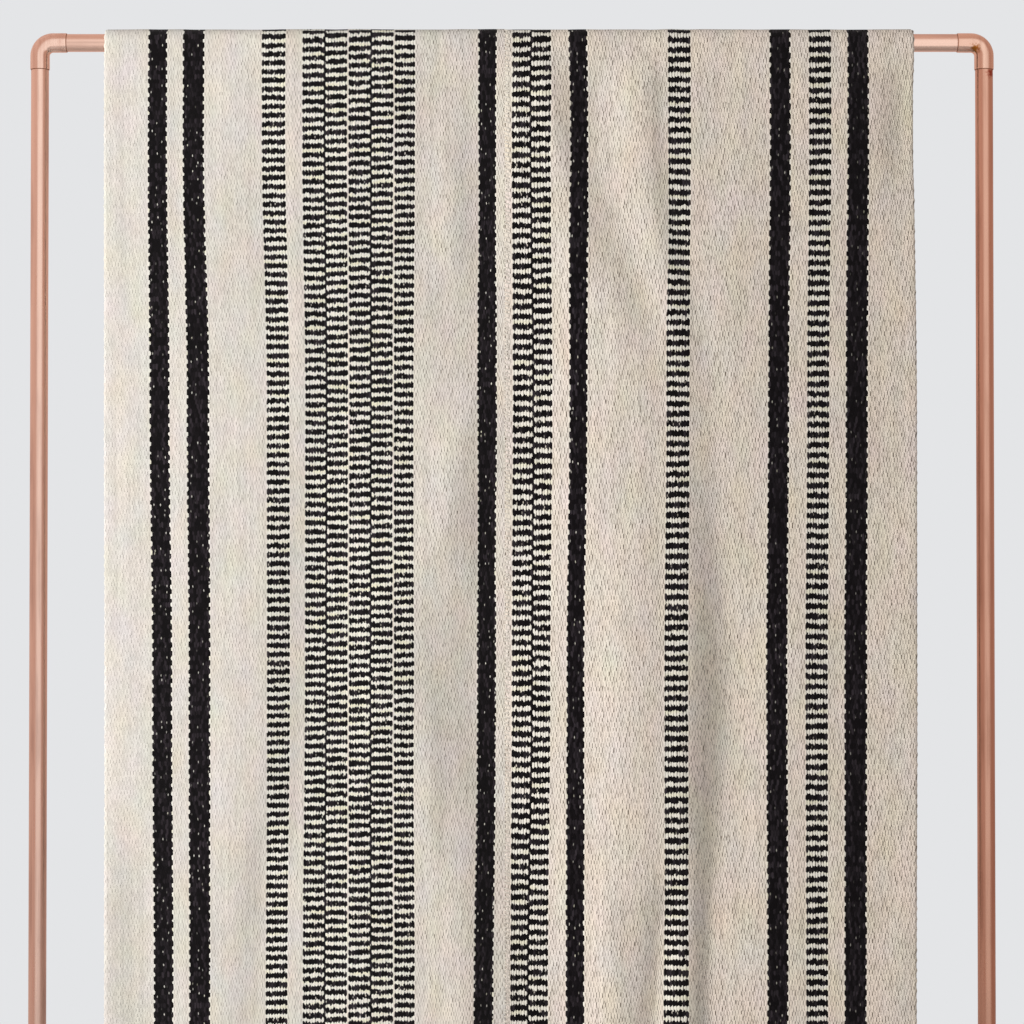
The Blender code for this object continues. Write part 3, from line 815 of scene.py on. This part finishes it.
def woven_wool(name, warp, ends, black_wool, creams, pits, specks):
    """The face of one panel, drawn from its "weave" attribute. Pairs are for its left and right."""
    made = bpy.data.materials.new(name)
    made.use_nodes = True
    tree = made.node_tree
    shader = tree.nodes["Principled BSDF"]
    place = add_node(tree, "Attribute", attribute_name="weave").outputs["Vector"]
    across = add_node(tree, "SeparateXYZ", {0: place}).outputs["X"]
    across = add_node(tree, "Math", {0: across, 1: 1 / ends}, operation="MULTIPLY").outputs[0]

    # No yarn lies quite straight, and of two floats that meet, the higher one shows
    slow = add_node(tree, "VectorMath", {0: place, 1: WANDER_RATE}, operation="MULTIPLY")
    wander = add_node(tree, "TexNoise", {"Vector": slow.outputs[0], "Scale": 1.0, "Detail": 2.0})
    bent = add_node(tree, "VectorMath", {0: wander.outputs["Color"], 1: WANDER_REACH, 2: place},
                    operation="MULTIPLY_ADD").outputs[0]
    even = float_set(tree, bent, warp, 0, "even")
    odd = float_set(tree, bent, warp, 1, "odd")
    odd_wins = add_node(tree, "Math", {0: odd.height, 1: even.height}, operation="GREATER_THAN").outputs[0]
    height = add_node(tree, "MixRGB", {0: odd_wins, 1: even.relief, 2: odd.relief}).outputs[0]
    black = add_node(tree, "MixRGB", {0: odd_wins, 1: even.black, 2: odd.black}).outputs[0]
    beside = add_node(tree, "MixRGB", {0: odd_wins, 1: odd.black, 2: even.black}).outputs[0]
    chance = add_node(tree, "MixRGB", {0: odd_wins, 1: even.chance, 2: odd.chance}).outputs[0]
    rise = add_node(tree, "MapRange", {"Value": height, "From Min": 0.0, "From Max": 1.0})
    relief = add_node(tree, "Math", {0: rise.outputs[0], 1: 0.6}, operation="POWER").outputs[0]

    # Light and dark: each float's own, its fibres, broad clouds and long streaks of thicker yarn
    strand = add_node(tree, "VectorMath", {0: place, 1: FIBRE_RATE}, operation="MULTIPLY")
    fibre = add_node(tree, "TexNoise", {"Vector": strand.outputs[0], "Scale": 1.0, "Detail": 4.0,
                                        "Roughness": 0.65}).outputs["Fac"]
    broad = add_node(tree, "VectorMath", {0: place, 1: CLOUD_RATE}, operation="MULTIPLY")
    cloud = add_node(tree, "TexNoise", {"Vector": broad.outputs[0], "Scale": 1.0,
                                        "Detail": 4.0}).outputs["Fac"]
    streak_place = add_node(tree, "VectorMath", {0: place, 1: STREAK_RATE}, operation="MULTIPLY")
    streak = add_node(tree, "TexNoise", {"Vector": streak_place.outputs[0], "Scale": 1.0,
                                         "Detail": 2.0}).outputs["Fac"]
    own = add_node(tree, "SeparateColor", {0: chance})
    tone = add_node(tree, "Math", {0: own.outputs[0], 1: 0.16, 2: 0.53}, operation="MULTIPLY_ADD").outputs[0]
    for amount, source in ((0.30, fibre), (0.22, cloud), (0.34, streak)):
        tone = add_node(tree, "Math", {0: source, 1: amount, 2: tone}, operation="MULTIPLY_ADD").outputs[0]
    tone = add_node(tree, "Math", {0: beside, 1: LADDER_LIGHT, 2: tone}, operation="MULTIPLY_ADD").outputs[0]

    cream = cream_yarn(tree, place, across, beside, creams)
    cream = add_node(tree, "VectorMath", {0: cream, "Scale": tone}, operation="SCALE").outputs[0]
    # Painted shade: the pits between floats are darkened towards PIT_SHADE by a share that grows towards
    # each panel's right and is largest on the right panel, where the lamp's light falls more slantwise. The
    # same share sets how far the bump reaches.
    depth = add_node(tree, "MapRange", {"Value": across, "To Min": pits[0], "To Max": pits[1]}).outputs[0]
    pit = add_node(tree, "MapRange", {"Value": relief, "From Min": 0.85, "From Max": 0.1,
                                      "To Max": depth}).outputs[0]
    cream = add_node(tree, "MixRGB", {0: pit, 1: cream, 2: linear(PIT_SHADE)}).outputs[0]

    # Painted highlight: the black wool is painted greyer on the crowns of some floats, where the light
    # catches them
    crown = add_node(tree, "Math", {0: own.outputs[1], 1: relief}, operation="MULTIPLY").outputs[0]
    crown = add_node(tree, "Math", {0: crown, 1: 3.0}, operation="POWER").outputs[0]
    dark = add_node(tree, "MixRGB", {0: crown, 1: linear(black_wool), 2: linear(WORN_BLACK)}).outputs[0]
    dark = add_node(tree, "VectorMath", {0: dark, "Scale": tone}, operation="SCALE").outputs[0]
    unparted = unparted_warp(tree, bent, across, specks)
    black = add_node(tree, "Math", {0: black, 1: unparted}, operation="MULTIPLY").outputs[0]
    colour = add_node(tree, "MixRGB", {0: black, 1: cream, 2: dark}).outputs[0]
    tree.links.new(colour, shader.inputs["Base Color"])

    fuzz = add_node(tree, "Math", {0: fibre, 1: 0.35, 2: relief}, operation="MULTIPLY_ADD").outputs[0]
    reach = add_node(tree, "Math", {0: depth, 1: 0.85, 2: 0.35}, operation="MULTIPLY_ADD").outputs[0]
    fuzz = add_node(tree, "Math", {0: fuzz, 1: reach}, operation="MULTIPLY").outputs[0]
    bump = add_node(tree, "Bump", {"Height": fuzz, "Strength": 1.0, "Distance": FLOAT_RELIEF})
    tree.links.new(bump.outputs[0], shader.inputs["Normal"])
    shader.inputs["Roughness"].default_value = 0.92
    shader.inputs["IOR"].default_value = 1.54
    shader.inputs["Specular IOR Level"].default_value = 0.15
    shader.inputs["Sheen Weight"].default_value = 0.05
    shader.inputs["Sheen Roughness"].default_value = 0.5
    return made


# Each panel's width laid flat, and how far apart its picks lie
LEFT_WIDTH = 0.4990
RIGHT_WIDTH = 0.5120
LEFT_PICK_SPACING = 0.005585
RIGHT_PICK_SPACING = 0.0063
LEFT_PICKS = round(CLOTH_LENGTH / LEFT_PICK_SPACING)
RIGHT_PICKS = round(CLOTH_LENGTH / RIGHT_PICK_SPACING)
left_panel, left_face, left_run = woven_panel(
    "wool_panel_left", LEFT_STATIONS, LEFT_PICKS, seam_side=1, tilt=0.022, seed=11)
right_panel, right_face, right_run = woven_panel(
    "wool_panel_right", RIGHT_STATIONS, RIGHT_PICKS, seam_side=-1, tilt=0.0, seed=23)
# Painted light: each panel's creams get lighter towards the right, evening out the lamp's falloff; the
# painted shade in the pits grows the same way
left_panel.data.materials.append(woven_wool(
    "handspun_wool_left", LEFT_WARP, LEFT_STATIONS[-1].ends, black_wool="#110F10",
    creams=("#DED7CD", "#E7DDD0"), pits=(0.10, 0.90), specks=(0.9, 1.2)))
right_panel.data.materials.append(woven_wool(
    "handspun_wool_right", RIGHT_WARP, RIGHT_STATIONS[-1].ends, black_wool="#0C090B",
    creams=("#ECE0D2", "#F0E2D1"), pits=(1.10, 1.45), specks=(1.1, 0.25)))
for panel, node, width in (
        (left_panel, "rug_panel_left", LEFT_WIDTH), (right_panel, "rug_panel_right", RIGHT_WIDTH)):
    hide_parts(node)
    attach(panel, "root")


# The seam: the two panels lie edge to edge and are joined by hand with cream wool yarn, whipped
# over both edges in slanting stitches that sink into the cloth where they go through it.

SEAM_X = -0.0080
STITCH_PITCH = 0.0053
STITCH_RADIUS = 0.0011
STITCH_DROP = 0.0028
STITCH_UNEVEN = 0.0011
SEAM_COLUMNS = 5

# A stitch's way: how far right of the seam, and how far off the cloth's face
STITCH_PATH = (
    (-0.0026, -0.0016), (-0.0010, -0.0005), (0.0008, -0.0002), (0.0030, -0.0004),
    (0.0050, -0.0008), (0.0064, -0.0018),
)


def beside_seam(offset, place):
    """A point of the cloth's outer face: offset metres right of the seam, place metres along."""
    if offset < 0:
        face, run = left_face[:, -SEAM_COLUMNS:], left_run[:, -SEAM_COLUMNS:]
    else:
        face, run = right_face[:, :SEAM_COLUMNS], right_run[:, :SEAM_COLUMNS]
    near = np.array([[np.interp(place, run[:, i], face[:, i, k]) for k in range(3)]
                     for i in range(SEAM_COLUMNS)])
    return Vector([np.interp(SEAM_X + offset, near[:, 0], near[:, k]) for k in range(3)])


chance = np.random.default_rng(41)
thread_line = bpy.data.curves.new("seam_thread", "CURVE")
thread_line.dimensions = "3D"
thread_line.bevel_depth = STITCH_RADIUS
thread_line.bevel_resolution = 1
thread_line.use_fill_caps = True
for number in range(1, int(CLOTH_LENGTH / STITCH_PITCH)):
    start = number * STITCH_PITCH + chance.uniform(-STITCH_UNEVEN, STITCH_UNEVEN)
    stitch = thread_line.splines.new("POLY")
    stitch.points.add(len(STITCH_PATH) - 1)
    for step, (offset, lift) in enumerate(STITCH_PATH):
        point = beside_seam(offset, start - STITCH_DROP * step / (len(STITCH_PATH) - 1))
        outward = Vector((0, point.y, max(point.z - BAR_HEIGHT, 0))).normalized()
        stitch.points[step].co = (*(point + outward * lift), 1)
drawn = bpy.data.objects.new("drawn_thread", thread_line)
bpy.context.scene.collection.objects.link(drawn)
thread_mesh = bpy.data.meshes.new_from_object(drawn.evaluated_get(bpy.context.evaluated_depsgraph_get()))
bpy.data.objects.remove(drawn)
thread_mesh.shade_smooth()

# Plied cream wool: matt and fuzzy, with light and dark spots the size of its plies
PLY_SIZE = 0.0016
PLY_DEPTH = 0.0003
plied_wool = bpy.data.materials.new("plied_wool_yarn")
plied_wool.use_nodes = True
yarn_tree = plied_wool.node_tree
yarn_place = add_node(yarn_tree, "TexCoord").outputs["Object"]
yarn_noise = add_node(yarn_tree, "TexNoise", {"Vector": yarn_place, "Scale": 1 / PLY_SIZE, "Detail": 2.0})
yarn_colour = add_node(yarn_tree, "MixRGB", {0: yarn_noise.outputs["Fac"], 1: linear("#D2C8BA"),
                                             2: linear("#EFE7DB")})
yarn_shader = yarn_tree.nodes["Principled BSDF"]
yarn_tree.links.new(yarn_colour.outputs[0], yarn_shader.inputs["Base Color"])
yarn_bump = add_node(yarn_tree, "Bump", {"Height": yarn_noise.outputs["Fac"], "Distance": PLY_DEPTH})
yarn_tree.links.new(yarn_bump.outputs[0], yarn_shader.inputs["Normal"])
yarn_shader.inputs["Roughness"].default_value = 0.92
yarn_shader.inputs["IOR"].default_value = 1.54
yarn_shader.inputs["Specular IOR Level"].default_value = 0.15
thread_mesh.materials.append(plied_wool)
thread = bpy.data.objects.new("seam_thread", thread_mesh)
bpy.context.scene.collection.objects.link(thread)
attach(thread, "root")


# Floor and light: a plain pale studio floor, a round board just under the rack's feet, with one
# soft lamp at the left front and even fill from all sides.

FLOOR_RADIUS = 1.45
FLOOR_THICKNESS = 0.010
FLOOR_GAP = 0.0002
floor_middle = Matrix.Translation((0, 0, -FLOOR_GAP - FLOOR_THICKNESS / 2))
floor_shape = bmesh.new()
bmesh.ops.create_cone(floor_shape, cap_ends=True, segments=96, radius1=FLOOR_RADIUS,
                      radius2=FLOOR_RADIUS, depth=FLOOR_THICKNESS, matrix=floor_middle)
floor_mesh = bpy.data.meshes.new("floor")
floor_shape.to_mesh(floor_mesh)
floor_shape.free()
floor = bpy.data.objects.new("floor", floor_mesh)
bpy.context.scene.collection.objects.link(floor)
painted_floor = bpy.data.materials.new("pale_floor")
painted_floor.use_nodes = True
floor_shader = painted_floor.node_tree.nodes["Principled BSDF"]
floor_shader.inputs["Base Color"].default_value = linear("#DCDCDC")
floor_shader.inputs["Roughness"].default_value = 0.7
floor_mesh.materials.append(painted_floor)
floor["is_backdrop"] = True


# A square soft box. The copper mirrors the broad white window below, not this lamp
LAMP_PLACE = Vector((-3.4, -2.3, 1.25))
LAMP_AIM = Vector((0, 0, 0.92))
softbox = bpy.data.lights.new("key", "AREA")
softbox.shape = "SQUARE"
softbox.size = 0.8
softbox.energy = 145
key = bpy.data.objects.new("key", softbox)
key.location = LAMP_PLACE
key.rotation_euler = (LAMP_AIM - LAMP_PLACE).to_track_quat("-Z", "Y").to_euler()
key.visible_glossy = False
bpy.context.scene.collection.objects.link(key)

# The backdrop that the camera sees, and the softer grey that lights the matt surfaces
BACKDROP = "#E4E5E7"
FILL_LIGHT = "#A9A9AA"
world = bpy.data.worlds.new("studio")
bpy.context.scene.world = world
world.use_nodes = True
sky = world.node_tree
fill = sky.nodes["Background"]
fill.inputs["Color"].default_value = linear(FILL_LIGHT)
seen = add_node(sky, "Background", {"Color": linear(BACKDROP)})

# What the copper mirrors: warm walls, paler at the left and above, and in front a window with
# rounded corners. Its scale and shift carry a ray's direction to the window's own middle and size
WALL_SHADE = "#AC8979"
WALL_LIGHT = "#F0DDD6"
WALL_SLOPE = (-0.22, 0.12, 0.10)
WINDOW_SCALE = (1.92, 0.0, 1.33)
WINDOW_SHIFT = (-0.346, 0.0, 0.12)
direction = add_node(sky, "TexCoord").outputs["Generated"]
lean = add_node(sky, "VectorMath", {0: direction, 1: WALL_SLOPE}, operation="DOT_PRODUCT")
lean = add_node(sky, "Math", {0: lean.outputs["Value"], 1: 0.45}, operation="ADD", use_clamp=True)
walls = add_node(sky, "MixRGB", {0: lean.outputs[0], 1: linear(WALL_SHADE), 2: linear(WALL_LIGHT)})
window = add_node(sky, "VectorMath", {0: direction, 1: WINDOW_SCALE, 2: WINDOW_SHIFT},
                  operation="MULTIPLY_ADD")
window = add_node(sky, "VectorMath", {0: window.outputs[0], 1: window.outputs[0]}, operation="MULTIPLY")
window = add_node(sky, "VectorMath", {0: window.outputs[0], 1: window.outputs[0]}, operation="DOT_PRODUCT")
window = add_node(sky, "MapRange", {"Value": window.outputs["Value"], "From Min": 1.6, "From Max": 0.5})
ahead = add_node(sky, "SeparateXYZ", {0: direction}).outputs["Y"]
ahead = add_node(sky, "MapRange", {"Value": ahead, "From Min": -0.15, "From Max": -0.45})
window = add_node(sky, "Math", {0: window.outputs[0], 1: ahead.outputs[0]}, operation="MULTIPLY")
studio = add_node(sky, "MixRGB", {0: window.outputs[0], 1: walls.outputs[0], 2: linear("#FFFFFF")})
mirrored = add_node(sky, "Background", {"Color": studio.outputs[0]})

ray = add_node(sky, "LightPath")
unseen = add_node(sky, "MixShader", {0: ray.outputs["Is Glossy Ray"], 1: fill.outputs[0],
                                     2: mirrored.outputs[0]})
both = add_node(sky, "MixShader", {0: ray.outputs["Is Camera Ray"], 1: unseen.outputs[0],
                                   2: seen.outputs[0]})
sky.links.new(both.outputs[0], sky.nodes["World Output"].inputs["Surface"])
bpy.context.scene.view_settings.view_transform = "Standard"


# Camera: straight in front of the rug with a long lens, at about half the rack's height and
# tilted up a little, so that the bar lies near the top of the frame.

CAMERA_PLACE = (0, -3.753, 0.8274)
CAMERA_TILT = math.radians(1.1)
camera_data = bpy.data.cameras.new("camera")
camera_data.lens = 105.5
camera = bpy.data.objects.new("camera", camera_data)
camera.location = CAMERA_PLACE
camera.rotation_euler = (math.pi / 2 + CAMERA_TILT, 0, 0)
bpy.context.scene.collection.objects.link(camera)
bpy.context.scene.camera = camera

low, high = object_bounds()
